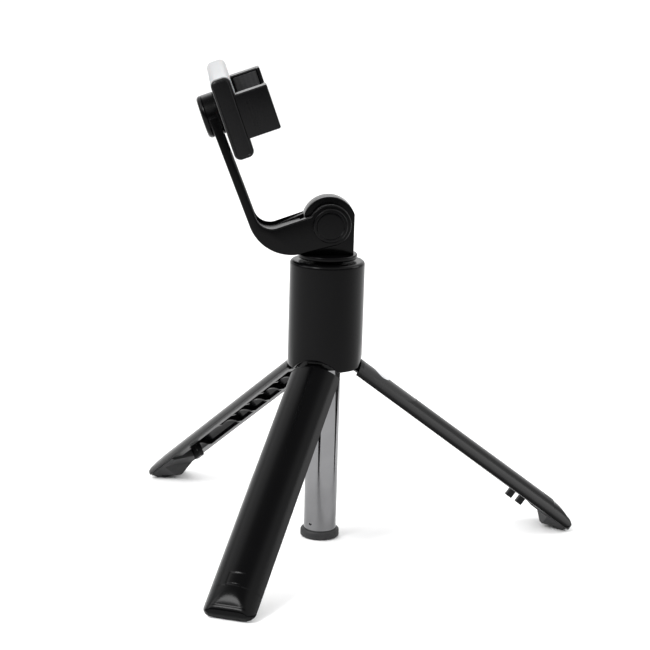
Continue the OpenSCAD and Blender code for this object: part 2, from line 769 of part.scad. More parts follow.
module sliding_jaw() color([0.05, 0.05, 0.055]) at_pivot() {
    difference() {
        union() {
            difference() {
                side_solid(plate_y0, plate_y1) clamp_section(0);
                side_solid(plate_y1 - 1.2, far)
                    rounded_square(body_x0 + 1.3, body_z0 + 1.3, body_x1 - 1.3, body_z0 + body_h - 1.3, 1.7);
            }
            side_solid(plate_y1 - 1.3, plate_y1 - 0.1) clamp_section(1.6);
            difference() {
                translate([0, near_y, 0]) jaw_block();
                translate([body_x1 - 1, plate_y1, -far]) cube([1.2, far, 3 * far]);
            }
        }
        at_rods() y_pin(rod_d, plate_y0 + 1.2, far);
        at_springs() y_pin(spring_d + 1, plate_y0 + 2, far);
        translate([0, plate_y0 - tiny, 0]) for (x = [body_x1 + 3.6, body_x1 + 5.4])
            translate([x, 0, jaw_z0 + 5]) cube([0.5, 0.35, jaw_w - 8]);
    }
}

module sliding_jaw_pad() color([0.12, 0.12, 0.12]) at_pivot() translate([0, near_y, 0]) jaw_pad();

module guide_rods() color([0.75, 0.75, 0.77]) at_pivot() {
    at_rods() y_pin(rod_d, plate_y0 + 1.2, plate_y0 + 1.2 + rod_len);
}

// Closing springs, each drawn as a stack of rings at the coil's pitch
module jaw_springs() color([0.7, 0.7, 0.72]) at_pivot() {
    spring_y0 = plate_y0 + 2.2;
    coil_r = (spring_d - spring_wire) / 2;
    pitch = 1.6;
    turns = floor((spring_y1 - spring_y0 - spring_wire) / pitch);
    at_springs() {
        for (i = [0:turns])
            translate([0, spring_y0 + spring_wire / 2 + i * pitch, 0]) rotate([90, 0, 0])
                rotate_extrude($fn = 24) translate([coil_r, 0]) circle(d = spring_wire, $fn = 8);
        y_pin(1, spring_y0, spring_y0 + turns * pitch + spring_wire);
    }
}

hub_shell();
leg_carrier();
leg_hinge_pins();
hub_screws();
pole_top_bush();
outer_tube();
pole_end_cap();
tube_2();
tube_3();
tube_4();
tube_5();
tube_2_bush();
tube_3_bush();
tube_4_bush();
tube_5_bush();
tube_5_plug();
right_leg_cover();
right_leg_frame();
right_leg_foot();
left_leg_cover();
left_leg_frame();
left_leg_foot();
front_leg_cover();
front_leg_frame();
front_leg_foot();
remote_upper_shell();
remote_lower_shell();
remote_button();
remote_board();
remote_cell();
head_base();
head_set_screw();
tilt_washers();
arm();
tilt_screw();
tilt_nut();
tilt_cap_near();
tilt_cap_far();
swivel_screw();
swivel_washer();
swivel_cap();
clamp_body();
clamp_insert();
fixed_jaw();
fixed_jaw_screws();
fixed_jaw_pad();
sliding_jaw();
sliding_jaw_pad();
guide_rods();
jaw_springs();
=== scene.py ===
"""Looks of a tripod selfie stick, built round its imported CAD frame.

Lengths are in millimetres until a mesh is made. Shapes are worked out in the place of the piece that they belong
to: the row's own place for the hub and pole, a leg's place that hangs from its hinge, and the head's place that leans
with the arm about the tilt axis.
"""

import json
import logging
import math
from dataclasses import dataclass
from enum import Enum

import bmesh
import bpy
import numpy as np
from mathutils import Matrix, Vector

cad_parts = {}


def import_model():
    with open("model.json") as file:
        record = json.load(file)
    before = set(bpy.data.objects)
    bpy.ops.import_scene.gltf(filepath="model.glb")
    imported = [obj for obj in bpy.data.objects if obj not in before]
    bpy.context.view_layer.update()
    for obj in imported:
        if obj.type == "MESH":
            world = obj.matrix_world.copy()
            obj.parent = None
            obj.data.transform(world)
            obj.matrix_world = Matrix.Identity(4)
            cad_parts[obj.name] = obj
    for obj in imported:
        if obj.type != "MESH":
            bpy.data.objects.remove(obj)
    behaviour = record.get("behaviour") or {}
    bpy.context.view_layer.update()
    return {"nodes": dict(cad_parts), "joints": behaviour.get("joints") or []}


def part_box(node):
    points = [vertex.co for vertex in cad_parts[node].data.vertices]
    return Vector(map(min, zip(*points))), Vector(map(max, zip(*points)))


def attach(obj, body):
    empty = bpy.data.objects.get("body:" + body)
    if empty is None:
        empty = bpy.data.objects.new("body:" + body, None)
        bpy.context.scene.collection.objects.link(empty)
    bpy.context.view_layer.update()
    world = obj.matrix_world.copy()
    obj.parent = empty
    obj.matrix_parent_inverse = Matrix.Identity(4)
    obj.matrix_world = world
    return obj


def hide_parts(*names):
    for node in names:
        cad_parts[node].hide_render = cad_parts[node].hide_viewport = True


MM = 0.001
LOG = logging.getLogger("selfie_stick")
Array = np.ndarray


# ---------------------------------------------------------------- places


@dataclass(frozen=True)
class Place:
    """Where a sub-assembly sits in the row's frame: its origin in mm and its three axes as rows."""

    origin: Array
    axes: Array

    def to_row(self, points: Array) -> Array:
        """Turn local points into row points: origin plus each coordinate times its axis.

        Args:
            points: local coordinates in mm, any shape ending in 3.
        Returns:
            The same points in the row's frame, in mm.
        """
        return self.origin + points @ self.axes


ROW = Place(np.zeros(3), np.eye(3))


@dataclass
class Layout:
    """Places that the frame gives: the tilt axis, the leaning head, and each leg at its hinge."""

    joints: dict[str, dict]
    leg_open_deg: float = 53.5

    def pivot_z(self) -> float:
        """Height of the tilt axis in mm."""
        return self.joints["arm_tilt"]["pos_m"][2] / MM

    def head(self) -> Place:
        """Place of the arm and clamp: X points from the bar to the phone, Z up along the bar.

        Returns:
            The head's place, with its origin on the tilt axis.
        """
        out = np.array(self.joints["clamp_turn"]["axis"], float)
        out /= np.linalg.norm(out)
        across = np.array([0.0, 1.0, 0.0])
        return Place(np.array([0.0, 0.0, self.pivot_z()]), np.array([out, across, np.cross(out, across)]))

    def leg(self, body: str) -> Place:
        """Place of an open leg: X out of its back, Y along its hinge, Z back up towards the hinge.

        Args:
            body: the leg's body name.
        Returns:
            The leg's place, with its origin on the hinge.
        """
        joint = self.joints[body + "_fold"]
        hinge = np.array(joint["axis"], float)
        radial = np.cross(hinge, [0.0, 0.0, 1.0])
        lean = math.radians(self.leg_open_deg)
        up = np.array([0.0, 0.0, 1.0])
        out = radial * math.cos(lean) + up * math.sin(lean)
        back = -radial * math.sin(lean) + up * math.cos(lean)
        return Place(np.array(joint["pos_m"], float) / MM, np.array([out, hinge, back]))


# ---------------------------------------------------------------- shader wiring


class Sock:
    """A node socket or a number, with the arithmetic that a material needs. Each operator adds one Math node."""

    def __init__(self, wiring: "Wiring", socket: bpy.types.NodeSocket) -> None:
        """Keep the socket and the wiring that it belongs to."""
        self.wiring = wiring
        self.socket = socket

    def _math(self, operation: str, a: "Sock | float", b: "Sock | float") -> "Sock":
        """Add a Math node.

        Args:
            operation: the Math node's operation.
            a: first value.
            b: second value.
        Returns:
            The node's result.
        """
        return self.wiring.node("ShaderNodeMath", {"operation": operation}, {0: a, 1: b})

    def __add__(self, other: "Sock | float") -> "Sock":
        """Sum."""
        return self._math("ADD", self, other)

    def __radd__(self, other: float) -> "Sock":
        """Sum, number first."""
        return self._math("ADD", other, self)

    def __sub__(self, other: "Sock | float") -> "Sock":
        """Difference."""
        return self._math("SUBTRACT", self, other)

    def __rsub__(self, other: float) -> "Sock":
        """Difference, number first."""
        return self._math("SUBTRACT", other, self)

    def __mul__(self, other: "Sock | float") -> "Sock":
        """Product."""
        return self._math("MULTIPLY", self, other)

    def __rmul__(self, other: float) -> "Sock":
        """Product, number first."""
        return self._math("MULTIPLY", other, self)

    def clipped(self, low: float, high: float) -> "Sock":
        """Keep the value between low and high."""
        return self._math("MINIMUM", self._math("MAXIMUM", self, low), high)


class Wiring:
    """The node tree of a material or a world, with a single method that adds any node."""

    def __init__(self, owner: bpy.types.Material | bpy.types.World) -> None:
        """Empty the owner's node tree, ready for new nodes."""
        self.owner = owner
        self.owner.use_nodes = True
        self.tree = self.owner.node_tree
        self.tree.nodes.clear()

    @classmethod
    def material(cls, name: str) -> "Wiring":
        """Wiring of a new material called name."""
        return cls(bpy.data.materials.new(name))

    def node(self, kind: str, settings: dict | None = None, inputs: dict | None = None, out: int | str = 0) -> Sock:
        """Add a node, set its settings first, then its inputs.

        Args:
            kind: the node's type name.
            settings: attribute name to value; "stops" fills a colour ramp.
            inputs: socket name or number to a number, a colour or a Sock.
            out: which output is returned.
        Returns:
            The chosen output.
        """
        made = self.tree.nodes.new(kind)
        for key, value in (settings or {}).items():
            if key == "stops":
                self._fill_ramp(made.color_ramp, value)
            else:
                setattr(made, key, value)
        for key, value in (inputs or {}).items():
            if isinstance(value, Sock):
                self.tree.links.new(value.socket, made.inputs[key])
            else:
                made.inputs[key].default_value = value
        return Sock(self, made.outputs[out] if len(made.outputs) else None)

    @staticmethod
    def _fill_ramp(ramp: bpy.types.ColorRamp, stops: list[tuple[float, tuple]]) -> None:
        """Write a ramp's stops.

        Args:
            ramp: the colour ramp.
            stops: each stop's position and colour.
        """
        while len(ramp.elements) < len(stops):
            ramp.elements.new(0.5)
        for element, (position, colour) in zip(ramp.elements, stops):
            element.position = position
            element.color = (*colour[:3], 1.0)

    def place(self) -> Sock:
        """Object coordinates."""
        return self.node("ShaderNodeTexCoord", out="Object")

    def stretched(self, scale: tuple[float, float, float]) -> Sock:
        """Object coordinates, scaled along each axis."""
        return self.node("ShaderNodeMapping", {}, {"Vector": self.place(), "Scale": scale})

    def noise(self, vector: Sock, scale: float, detail: float = 3.0, rough: float = 0.5) -> Sock:
        """Noise value over a vector.

        Args:
            vector: where it is read.
            scale: features per metre.
            detail: octaves.
            rough: how strong the finer octaves are.
        Returns:
            The noise value, about 0 to 1.
        """
        return self.node("ShaderNodeTexNoise", {}, {
            "Vector": vector, "Scale": scale, "Detail": detail, "Roughness": rough})

    def blend(self, factor: "Sock | float", first: tuple, second: tuple) -> Sock:
        """Mix two colours by a factor."""
        return self.node("ShaderNodeMix", {"data_type": "RGBA"},
                         {0: factor, 6: (*first, 1.0), 7: (*second, 1.0)}, out=2)

    def bump(self, height: Sock, distance: float, strength: float = 1.0, normal: Sock | None = None) -> Sock:
        """Bump from a height.

        Args:
            height: the height value.
            distance: height in metres of a value of 1.
            strength: share of the effect.
            normal: normal to build on.
        Returns:
            The new normal.
        """
        inputs: dict = {"Height": height, "Distance": distance, "Strength": strength}
        if normal is not None:
            inputs["Normal"] = normal
        return self.node("ShaderNodeBump", {}, inputs)

    def finish(self, inputs: dict) -> bpy.types.Material:
        """Close the material with a Principled shader.

        Args:
            inputs: its sockets by name.
        Returns:
            The finished material.
        """
        shader = self.node("ShaderNodeBsdfPrincipled", {}, inputs)
        self.node("ShaderNodeOutputMaterial", {}, {"Surface": shader})
        return self.owner


# ---------------------------------------------------------------- finishes


@dataclass(frozen=True)
class Moulded:
    """Injection-moulded plastic: a base colour with faint clouding, fine mould texture and handling haze."""

    name: str
    low: tuple[float, float, float]
    high: tuple[float, float, float]
    rough: float
    rough_spread: float
    grain_m: float
    grain_scale: float
    gleam: float = 0.5
    scatter: float = 0.0

    def material(self) -> bpy.types.Material:
        """Build the material: large noise drives colour and roughness, fine noise drives the bump.

        Returns:
            The material.
        """
        w = Wiring.material(self.name)
        place = w.place()
        cloud = w.noise(place, 45.0, 4.0, 0.6)
        smear = w.noise(w.stretched((1.0, 1.0, 0.35)), 160.0, 5.0, 0.65)
        grain = w.noise(place, self.grain_scale, 2.0, 0.5)
        ripple = w.noise(place, 220.0, 1.0, 0.4)
        haze = (cloud * 0.5 + smear * 0.5 - 0.5) * self.rough_spread
        rough = self.rough + haze + (grain - 0.5) * (self.rough_spread * 0.3)
        normal = w.bump(grain, self.grain_m, 0.8, w.bump(ripple, self.grain_m * 1.4, 0.5))
        inputs: dict = {
            "Base Color": w.blend(cloud, self.low, self.high),
            "Roughness": rough.clipped(0.03, 1.0),
            "Normal": normal,
            "IOR": 1.5,
            "Specular IOR Level": self.gleam,
        }
        if self.scatter:
            inputs["Subsurface Weight"] = self.scatter
            inputs["Subsurface Scale"] = 0.003
        return w.finish(inputs)


@dataclass(frozen=True)
class Metal:
    """Bare or plated metal, with fine drawing lines along one axis and a little staining."""

    name: str
    low: tuple[float, float, float]
    high: tuple[float, float, float]
    rough: float
    line_scale: tuple[float, float, float]
    line_m: float
    line_rough: float

    def material(self) -> bpy.types.Material:
        """Build the material: stretched noise makes the drawing lines, round noise the stains.

        Returns:
            The material.
        """
        w = Wiring.material(self.name)
        lines = w.noise(w.stretched(self.line_scale), 900.0, 3.0, 0.6)
        stain = w.noise(w.place(), 60.0, 4.0, 0.6)
        rough = self.rough + (lines - 0.5) * self.line_rough + (stain - 0.5) * 0.06
        return w.finish({
            "Base Color": w.blend(stain, self.low, self.high),
            "Metallic": 1.0,
            "Roughness": rough.clipped(0.02, 1.0),
            "Normal": w.bump(lines, self.line_m, 0.5),
        })


@dataclass(frozen=True)
class Rubber:
    """Soft rubber: matt, with a pebbled surface and patches of dust."""

    name: str = "rubber_black"

    def material(self) -> bpy.types.Material:
        """Build the material: a pebble of small cells and broad dusty noise.

        Returns:
            The material.
        """
        w = Wiring.material(self.name)
        place = w.place()
        cells = w.node("ShaderNodeTexVoronoi", {"feature": "SMOOTH_F1"}, {"Vector": place, "Scale": 1800.0})
        dust = w.noise(place, 90.0, 5.0, 0.65)
        dusty = ((dust - 0.45) * 2.2).clipped(0.0, 1.0)
        return w.finish({
            "Base Color": w.blend(dusty, (0.012, 0.012, 0.013), (0.034, 0.033, 0.032)),
            "Roughness": (0.62 + dusty * 0.2).clipped(0.0, 1.0),
            "Normal": w.bump(cells, 0.00006, 0.7),
            "IOR": 1.45,
        })


@dataclass(frozen=True)
class Board:
    """Circuit board: green varnish over copper tracks on a square grid, with plated pads."""

    name: str = "board_green"

    def material(self) -> bpy.types.Material:
        """Build the material: a brick grid marks the tracks and a cell pattern the pads.

        Returns:
            The material.
        """
        w = Wiring.material(self.name)
        tracks = w.node("ShaderNodeTexBrick", {}, {
            "Vector": w.stretched((700.0, 700.0, 700.0)), "Color1": (0, 0, 0, 1), "Color2": (0, 0, 0, 1),
            "Mortar": (1, 1, 1, 1), "Scale": 1.0, "Mortar Size": 0.06, "Mortar Smooth": 0.2}, out="Fac")
        pads = w.node("ShaderNodeTexVoronoi", {}, {"Vector": w.place(), "Scale": 420.0, "Randomness": 0.6})
        pad = (1.0 - ((pads - 0.16) * 12.0)).clipped(0.0, 1.0)
        green = w.blend(tracks, (0.012, 0.1, 0.035), (0.03, 0.2, 0.07))
        colour = w.node("ShaderNodeMix", {"data_type": "RGBA"}, {0: pad, 6: green, 7: (0.75, 0.6, 0.3, 1.0)}, out=2)
        return w.finish({
            "Base Color": colour,
            "Metallic": pad,
            "Roughness": (0.35 - pad * 0.1).clipped(0.0, 1.0),
            "Normal": w.bump(tracks + pad, 0.00004, 0.8),
        })


@dataclass(frozen=True)
class Paper:
    """Plain pale studio floor."""

    name: str = "studio_floor"

    def material(self) -> bpy.types.Material:
        """Build the material: nearly white with the faintest mottling.

        Returns:
            The material.
        """
        w = Wiring.material(self.name)
        mottle = w.noise(w.place(), 3.0, 3.0, 0.5)
        return w.finish({
            "Base Color": w.blend(mottle, (0.86, 0.86, 0.86), (0.9, 0.9, 0.9)),
            "Roughness": (0.75 + mottle * 0.1).clipped(0.0, 1.0),
            "Specular IOR Level": 0.1,
        })


class Finish(Enum):
    """The finishes of the stick, each a recipe for a material."""

    GLOSS = Moulded("gloss_black", (0.0008, 0.0008, 0.0009), (0.0015, 0.0015, 0.0017),
                    0.20, 0.08, 0.000005, 2600.0, 0.08)
    SATIN = Moulded("satin_black", (0.0014, 0.0014, 0.0016), (0.0028, 0.0028, 0.0031),
                    0.26, 0.10, 0.00001, 3200.0, 0.14)
    PALE = Moulded("pale_plastic", (0.165, 0.172, 0.178), (0.205, 0.212, 0.218),
                   0.3, 0.1, 0.000006, 2400.0, 0.5, 0.15)
    BUSH = Moulded("bush_plastic", (0.62, 0.62, 0.58), (0.74, 0.74, 0.7), 0.45, 0.1, 0.00001, 2400.0)
    BUTTON = Moulded("button_silver", (0.42, 0.43, 0.45), (0.52, 0.53, 0.55), 0.3, 0.1, 0.000006, 2400.0)
    RUBBER = Rubber()
    # Painted shade: the tube chrome's base colour is kept far darker than bright chrome, standing in for the dark
    # surroundings that it reflects; the blend between its two tones is a little staining.
    CHROME = Metal("tube_chrome", (0.15, 0.15, 0.154), (0.21, 0.21, 0.214), 0.09, (1.0, 1.0, 0.01), 0.0000015, 0.05)
    STEEL = Metal("steel", (0.5, 0.5, 0.51), (0.62, 0.62, 0.63), 0.28, (1.0, 1.0, 0.2), 0.000004, 0.12)
    BRASS = Metal("brass", (0.62, 0.45, 0.2), (0.78, 0.6, 0.3), 0.3, (1.0, 1.0, 0.3), 0.000004, 0.1)
    BOARD = Board()
    FLOOR = Paper()


class Paints:
    """Makes each finish's material once and hands it out."""

    def __init__(self) -> None:
        """Start with no materials made."""
        self.made: dict[Finish, bpy.types.Material] = {}

    def get(self, finish: Finish) -> bpy.types.Material:
        """The material of a finish, made on first use.

        Args:
            finish: the finish.
        Returns:
            Its material.
        """
        if finish not in self.made:
            self.made[finish] = finish.value.material()
        return self.made[finish]


# ---------------------------------------------------------------- surfaces


def arc(centre: tuple[float, float], radius: float, start_deg: float, end_deg: float, count: int) -> Array:
    """Points on a circle: centre + radius * (cos a, sin a), with a going evenly from start to end.

    Args:
        centre: the circle's centre.
        radius: its radius.
        start_deg: first angle.
        end_deg: last angle.
        count: number of points.
    Returns:
        Points, count by 2.
    """
    a = np.radians(np.linspace(start_deg, end_deg, count))
    return np.stack([centre[0] + radius * np.cos(a), centre[1] + radius * np.sin(a)], 1)


def rounded_corners(corners: list[tuple[float, float, float]], steps: int = 6) -> Array:
    """Closed outline through the corners, each cut by an arc that touches both of its sides.

    The arc's centre lies on the corner's bisector, radius / sin(half the corner's angle) from the corner.

    Args:
        corners: each corner's two coordinates and its rounding radius, in order round the outline.
        steps: points on each arc.
    Returns:
        Points of the outline.
    """
    points = np.array([c[:2] for c in corners], float)
    pieces = []
    for i, (_, _, radius) in enumerate(corners):
        here = points[i]
        if radius <= 0:
            pieces.append(here[None])
            continue
        to_last = points[i - 1] - here
        to_next = points[(i + 1) % len(points)] - here
        to_last /= np.linalg.norm(to_last)
        to_next /= np.linalg.norm(to_next)
        half = math.acos(float(np.clip(to_last @ to_next, -1, 1))) / 2
        bisector = to_last + to_next
        bisector /= np.linalg.norm(bisector)
        centre = here + bisector * radius / math.sin(half)
        first = here + to_last * radius / math.tan(half) - centre
        last = here + to_next * radius / math.tan(half) - centre
        share = np.linspace(0, 1, steps + 1)[:, None]
        swing = math.pi - 2 * half
        weights = np.sin((1 - share) * swing) / math.sin(swing), np.sin(share * swing) / math.sin(swing)
        pieces.append(centre + weights[0] * first + weights[1] * last)
    return np.concatenate(pieces)


def outline_normals(outline: Array) -> Array:
    """Outward unit normals of a closed outline: the mean of both edges' right-hand sides, by the sign of its area.

    Args:
        outline: points of the outline, count by 2.
    Returns:
        One normal for each point.
    """
    after = np.roll(outline, -1, 0) - outline
    before = outline - np.roll(outline, 1, 0)
    after /= np.linalg.norm(after, axis=1)[:, None] + 1e-12
    before /= np.linalg.norm(before, axis=1)[:, None] + 1e-12
    along = after + before
    along /= np.linalg.norm(along, axis=1)[:, None] + 1e-12
    x, y = outline.T
    area = np.sum(x * np.roll(y, -1) - y * np.roll(x, -1))
    return np.stack([along[:, 1], -along[:, 0]], 1) * np.sign(area)


class Shells:
    """Closed shells gathered into one mesh: grids of points, joined by quads and shut by end faces."""

    def __init__(self) -> None:
        """Start empty."""
        self.points: list[Array] = []
        self.faces: list[list[int]] = []
        self.count = 0

    def _keep(self, grid: Array) -> Array:
        """Store a grid's points.

        Args:
            grid: rows by columns by 3.
        Returns:
            The points' numbers, rows by columns.
        """
        numbers = np.arange(grid.shape[0] * grid.shape[1]).reshape(grid.shape[:2]) + self.count
        self.points.append(grid.reshape(-1, 3))
        self.count += numbers.size
        return numbers

    @staticmethod
    def cells(numbers: Array) -> Array:
        """Corner numbers of each cell of a grid of point numbers, in order round the cell."""
        return np.stack([numbers[:-1, :-1], numbers[:-1, 1:], numbers[1:, 1:], numbers[1:, :-1]], -1)

    def grid(self, grid: Array, wrap_rows: bool = False) -> None:
        """Add a grid as a closed shell: neighbours share quads, and the last column joins the first.

        Args:
            grid: rows by columns by 3.
            wrap_rows: join the last row to the first, instead of closing both with one face each.
        """
        n = self._keep(grid)
        rows = np.concatenate([n, n[:1]]) if wrap_rows else n
        self.faces += self.cells(np.concatenate([rows, rows[:, :1]], 1)).reshape(-1, 4).tolist()
        if not wrap_rows:
            self.faces += [n[0][::-1].tolist(), n[-1].tolist()]

    def sheets(self, outer: Array, inner: Array, kept: Array) -> None:
        """Add a wall between two matching grids, with cells left out where kept is false.

        Every grid edge that has a kept cell on just one side gets a quad between the two sheets, so rims and
        openings are closed by the same rule.

        Args:
            outer: outer sheet, rows by columns by 3.
            inner: inner sheet of the same shape.
            kept: which cells are there, one fewer in each direction.
        """
        a, b = self._keep(outer), self._keep(inner)
        self.faces += self.cells(a)[kept].tolist() + self.cells(b)[kept][:, ::-1].tolist()
        padded = np.pad(kept, 1).astype(np.int8)
        across = np.diff(padded, axis=0)[:, 1:-1] != 0
        along = np.diff(padded, axis=1)[1:-1] != 0
        self.faces += np.stack([a[:, :-1], a[:, 1:], b[:, 1:], b[:, :-1]], -1)[across].tolist()
        self.faces += np.stack([a[:-1], a[1:], b[1:], b[:-1]], -1)[along].tolist()

    def lathe(self, profile: Array, turns: int = 96, axis: str = "z",
              at: tuple[float, float, float] = (0, 0, 0)) -> None:
        """Add a turned shape: each profile point (r, h) goes round the axis, at r cos a, r sin a, h.

        Args:
            profile: radius and height of each point.
            turns: points round the axis.
            axis: which local axis it turns about.
            at: where the axis starts.
        """
        a = np.linspace(0, 2 * math.pi, turns, endpoint=False)
        r, h = profile[:, :1], profile[:, 1:2]
        first, second, third = r * np.cos(a), r * np.sin(a), np.broadcast_to(h, (len(profile), turns))
        order = {"z": (first, second, third), "y": (second, third, first), "x": (third, first, second)}[axis]
        self.grid(np.stack(order, -1) + np.array(at))

    def plate(self, outline: Array, low: float, high: float, edges: tuple[float, float] = (0.8, 0.8),
              plane: str = "xz", steps: int = 4) -> None:
        """Add a plate with rounded edges: the outline carried from low to high and drawn in near each face.

        Near a face the outline moves in by edge * (1 - sin a) at a height of edge * (1 - cos a) from it.

        Args:
            outline: closed outline in the plate's plane.
            low: first face, along the third axis.
            high: second face.
            edges: rounding at the first and the second face.
            plane: which two local axes the outline uses.
            steps: points on each rounded edge.
        """
        normals = outline_normals(outline)
        a = np.linspace(0, math.pi / 2, steps + 1)
        sides = []
        for edge, face, sign in ((edges[0], low, 1), (edges[1], high, -1)):
            angles = a if edge > 0 else a[-1:]
            inset, level = edge * (1 - np.sin(angles)), face + sign * edge * (1 - np.cos(angles))
            sides.append((inset, level) if sign > 0 else (inset[::-1], level[::-1]))
        inset = np.concatenate([s[0] for s in sides])[:, None]
        level = np.concatenate([s[1] for s in sides])[:, None] * np.ones(len(outline))
        p = outline[:, 0] - normals[:, 0] * inset
        q = outline[:, 1] - normals[:, 1] * inset
        order = {"xz": (p, level, q), "xy": (p, q, level)}[plane]
        self.grid(np.stack(order, -1))

    def bead(self, outline: Array, level: float, radius: float, steps: int = 10) -> None:
        """Add a round bead along a closed outline: each point is the outline's, moved by radius * (cos a, sin a).

        Args:
            outline: the bead's middle line in the local X and Z.
            level: where the middle line lies along Y.
            radius: the bead's radius.
            steps: points round its section.
        """
        a = np.linspace(0, 2 * math.pi, steps, endpoint=False)
        side = outline_normals(outline)[:, None] * np.cos(a)[None, :, None] * radius
        flat = outline[:, None] + side
        rise = np.broadcast_to(level + radius * np.sin(a), flat.shape[:2])
        self.grid(np.stack([flat[..., 0], rise, flat[..., 1]], -1), wrap_rows=True)

    def build(self, name: str, place: Place, material: bpy.types.Material,
              sharp_deg: float = 35.0) -> bpy.types.Object:
        """Make the object: local mm become row metres, normals face out, and only sharp edges stay sharp.

        Args:
            name: the piece's name.
            place: where its local coordinates sit.
            material: its material.
            sharp_deg: edges that turn by more than this are sharp.
        Returns:
            The object, at the origin and unturned.
        """
        points = place.to_row(np.concatenate(self.points)) * MM
        mesh = bpy.data.meshes.new(name)
        mesh.from_pydata(points.tolist(), [], self.faces)
        work = bmesh.new()
        work.from_mesh(mesh)
        bmesh.ops.remove_doubles(work, verts=work.verts, dist=1e-7)
        bmesh.ops.recalc_face_normals(work, faces=work.faces)
        work.to_mesh(mesh)
        work.free()
        mesh.polygons.foreach_set("use_smooth", np.ones(len(mesh.polygons), bool))
        mesh.set_sharp_from_angle(angle=math.radians(sharp_deg))
        mesh.materials.append(material)
        piece = bpy.data.objects.new(name, mesh)
        bpy.context.scene.collection.objects.link(piece)
        return piece


@dataclass
class Maker:
    """What every sub-assembly shares: the places, the paints and the hand-over of a finished piece."""

    layout: Layout
    paints: Paints

    @staticmethod
    def span(node: str) -> tuple[float, float]:
        """Lowest and highest Z of a CAD node at rest, in mm."""
        low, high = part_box(node)
        return low.z / MM, high.z / MM

    def hand_over(self, shells: Shells, name: str, place: Place, finish: Finish, body: str, node: str,
                  slot: str, sharp_deg: float = 35.0) -> bpy.types.Object:
        """Build a piece, let it ride on its body and stand for its CAD node.

        Args:
            shells: its shells.
            name: its name.
            place: its place.
            finish: its finish.
            body: the body that it rides on.
            node: the CAD node that it stands for.
            slot: the record's material slot; not used.
            sharp_deg: edges that turn by more than this are sharp.
        Returns:
            The piece.
        """
        piece = shells.build(name, place, self.paints.get(finish), sharp_deg)
        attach(piece, body)
        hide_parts(node)
        LOG.info("%s: %d faces on %s", name, len(piece.data.polygons), body)
        return piece


# ---------------------------------------------------------------- hub and pole


@dataclass
class Hub(Maker):
    """The hub shell: a glossy can with a chamfered top and an arch over each leg."""

    outer_r: float = 18.0
    wall: float = 2.2
    bore_r: float = 8.05
    top_chamfer: float = 1.6
    low_round: float = 1.3
    arch_r: float = 14.3
    arch_rise: float = 1.5
    turns: int = 360

    def lower_edge(self, radius: Array, angle: Array, bottom: float) -> Array:
        """Height of the shell's lower edge: the arch over the nearest leg, or the plain bottom where it is lower.

        The arch at a distance y from the leg's middle plane is centre + sqrt(arch_r^2 - y^2).

        Args:
            radius: radius of each point.
            angle: its angle about the pole, in radians.
            bottom: height of the plain lower edge.
        Returns:
            The height at each point.
        """
        height = np.full(np.broadcast(radius, angle).shape, bottom)
        for body in LEG_BODIES:
            joint = self.layout.joints[body + "_fold"]
            facing = math.atan2(joint["pos_m"][1], joint["pos_m"][0])
            centre = joint["pos_m"][2] / MM + self.arch_rise - self.arch_r
            aside = radius * np.sin(angle - facing)
            in_front = np.cos(angle - facing) > 0.3
            over = centre + np.sqrt(np.clip(self.arch_r ** 2 - aside ** 2, 0, None))
            height = np.where(in_front, np.maximum(height, over), height)
        return height

    def build(self) -> None:
        """Carry the wall's closed section round the pole; the lower points follow the arches."""
        low, high = self.span("hub_shell")
        r_in = self.outer_r - self.wall
        chamfer = arc((self.outer_r - self.top_chamfer, high - self.top_chamfer), self.top_chamfer, 82, 8, 5)
        upper = np.array([[self.bore_r, high - self.wall], [self.bore_r, high - 0.5], [self.bore_r + 0.5, high],
                          [self.outer_r - self.top_chamfer - 0.4, high]])
        wall = np.stack([np.full(6, self.outer_r), np.linspace(high - self.top_chamfer - 0.4, low + 14, 6)], 1)
        bend = arc((self.outer_r - self.low_round, self.low_round), self.low_round, 0, -80, 6)
        edge = np.concatenate([bend, [[r_in + 0.2, 0.0], [r_in, 0.25]]])
        inner = np.array([[r_in, high - self.wall]])
        angle = np.linspace(0, 2 * math.pi, self.turns, endpoint=False)
        fixed = np.concatenate([upper, chamfer, wall])
        r = np.concatenate([fixed, edge, inner])[:, :1] * np.ones(self.turns)
        z = np.concatenate([fixed, edge, inner])[:, 1:] * np.ones(self.turns)
        rows = slice(len(fixed), len(fixed) + len(edge))
        z[rows] += self.lower_edge(r[rows], angle, low)
        shells = Shells()
        shells.grid(np.stack([r * np.cos(angle), r * np.sin(angle), z], -1), wrap_rows=True)
        self.hand_over(shells, "hub_can", ROW, Finish.GLOSS, "hub", "hub_shell", "gloss_black")


